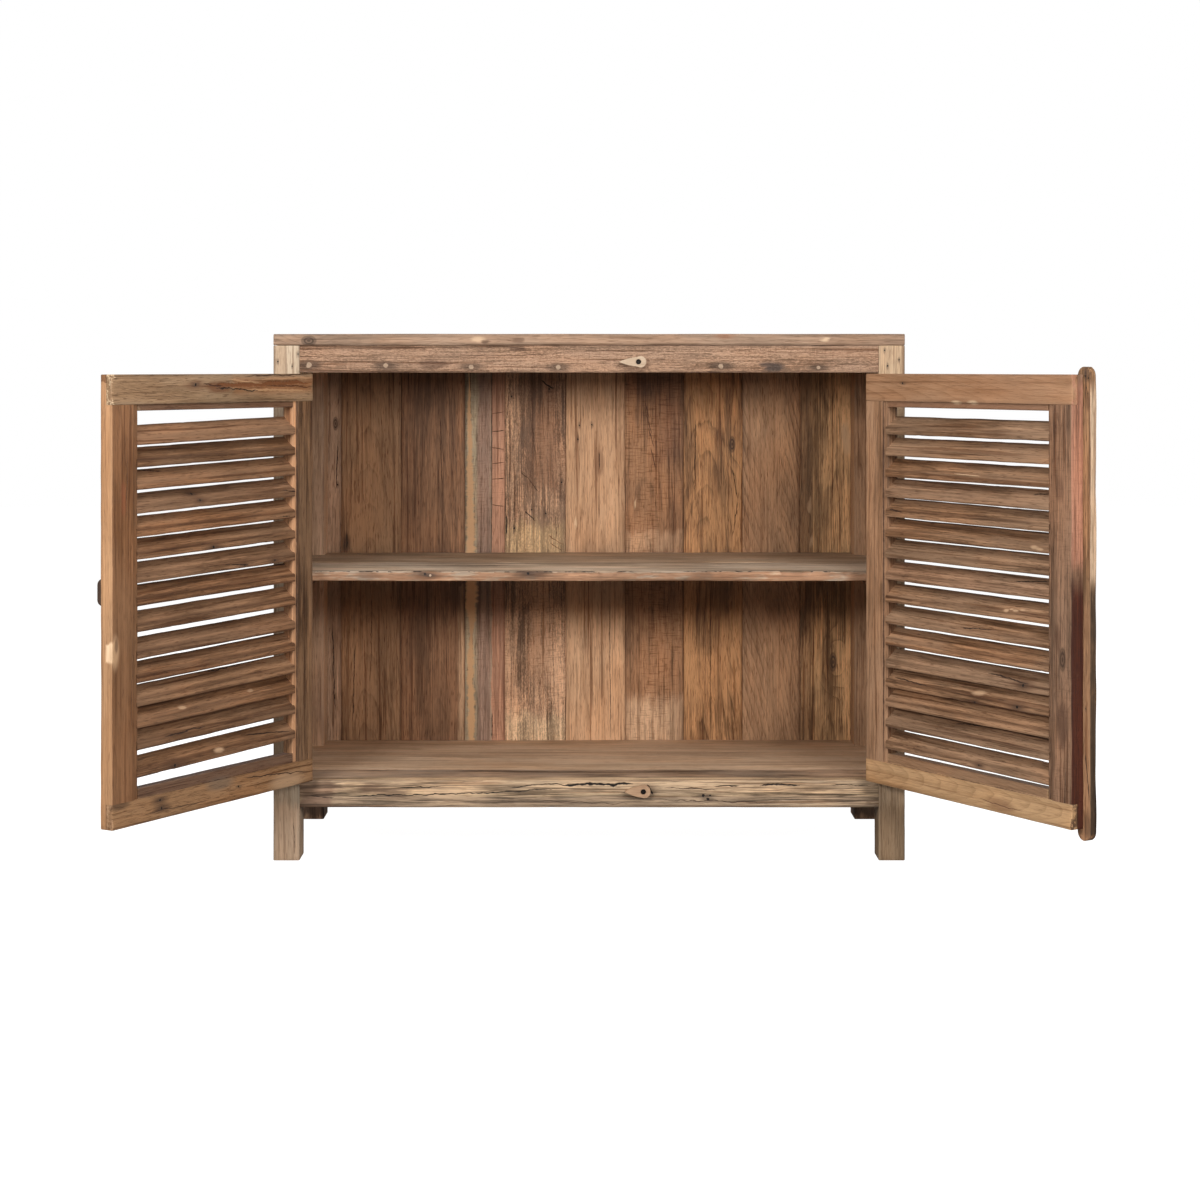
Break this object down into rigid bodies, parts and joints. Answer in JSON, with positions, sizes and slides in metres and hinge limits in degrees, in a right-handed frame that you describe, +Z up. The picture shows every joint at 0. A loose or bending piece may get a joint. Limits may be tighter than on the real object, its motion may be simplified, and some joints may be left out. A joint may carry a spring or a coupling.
{
  "type": "louvred door cabinet",
  "caption": "Low standing cabinet in reclaimed teak with a shelf, louvred doors on butt hinges and small turning wooden latches on the front rails.",
  "frame": {"origin": "on the floor, on the cabinet's centre line, in the plane of the front rails' faces", "axes": "+X towards the right-hand door, +Y into the cabinet towards its back, +Z up"},
  "size_m": [1.4138, 0.8079, 0.834],
  "materials": {
    "reclaimed_teak": "oiled, worn and nail-marked",
    "pale_wood": "bare, whittled",
    "dark_wood": "oiled, dark",
    "steel": "dull, plain"
  },
  "bodies": {
    "carcass": {"back_plank_01": "reclaimed_teak", "back_plank_02": "reclaimed_teak", "back_plank_03": "reclaimed_teak", "back_plank_04": "reclaimed_teak", "back_plank_05": "reclaimed_teak", "back_plank_06": "reclaimed_teak", "back_plank_07": "reclaimed_teak", "back_plank_08": "reclaimed_teak", "back_plank_09": "reclaimed_teak", "back_plank_10": "reclaimed_teak", "bottom_board_front": "reclaimed_teak", "bottom_board_middle": "reclaimed_teak", "bottom_board_rear": "reclaimed_teak", "front_bottom_rail": "reclaimed_teak", "front_left_post": "reclaimed_teak", "front_right_post": "reclaimed_teak", "front_top_rail": "reclaimed_teak", "hinge_pins": "steel", "hinge_post_leaves": "steel", "hinge_post_screws": "steel", "latch_screws": "steel", "latch_washers": "steel", "left_bottom_side_rail": "reclaimed_teak", "left_shelf_cleat": "reclaimed_teak", "left_side_plank_front": "reclaimed_teak", "left_side_plank_rear": "reclaimed_teak", "left_top_side_rail": "reclaimed_teak", "rear_bottom_rail": "reclaimed_teak", "rear_left_post": "reclaimed_teak", "rear_right_post": "reclaimed_teak", "rear_top_rail": "reclaimed_teak", "right_bottom_side_rail": "reclaimed_teak", "right_shelf_cleat": "reclaimed_teak", "right_side_plank_front": "reclaimed_teak", "right_side_plank_rear": "reclaimed_teak", "right_top_side_rail": "reclaimed_teak", "shelf_board_front": "reclaimed_teak", "shelf_board_rear": "reclaimed_teak", "top_board_1": "reclaimed_teak", "top_board_2": "reclaimed_teak", "top_board_3": "reclaimed_teak"},
    "left_door": {"left_hinge_stile": "reclaimed_teak", "left_closing_stile": "reclaimed_teak", "left_door_top_rail": "reclaimed_teak", "left_door_bottom_rail": "reclaimed_teak", "left_louvre_slats": "reclaimed_teak", "left_pull": "dark_wood", "left_door_hinge_leaves": "steel", "left_door_hinge_screws": "steel"},
    "right_door": {"right_hinge_stile": "reclaimed_teak", "right_closing_stile": "reclaimed_teak", "right_door_top_rail": "reclaimed_teak", "right_door_bottom_rail": "reclaimed_teak", "right_louvre_slats": "reclaimed_teak", "right_pull": "dark_wood", "right_door_hinge_leaves": "steel", "right_door_hinge_screws": "steel", "right_closing_batten": "reclaimed_teak"},
    "top_latch": {"top_latch": "pale_wood"},
    "bottom_latch": {"bottom_latch": "pale_wood"}
  },
  "joints": [
    {"name": "left_door_hinge", "type": "hinge", "parent": "carcass", "child": "left_door", "pos_m": [-0.4565, -0.005, 0.45], "axis": [0, 0, -1], "range_deg": [-121.2, 58.8]},
    {"name": "right_door_hinge", "type": "hinge", "parent": "carcass", "child": "right_door", "pos_m": [0.4565, -0.005, 0.45], "axis": [0, 0, 1], "range_deg": [-122.5, 57.5]},
    {"name": "top_latch_pivot", "type": "hinge", "parent": "carcass", "child": "top_latch", "pos_m": [0.078, -0.005, 0.7897], "axis": [0, -1, 0], "continuous": true},
    {"name": "bottom_latch_pivot", "type": "hinge", "parent": "carcass", "child": "bottom_latch", "pos_m": [0.0856, -0.005, 0.1105], "axis": [0, -1, 0], "continuous": true}
  ]
}
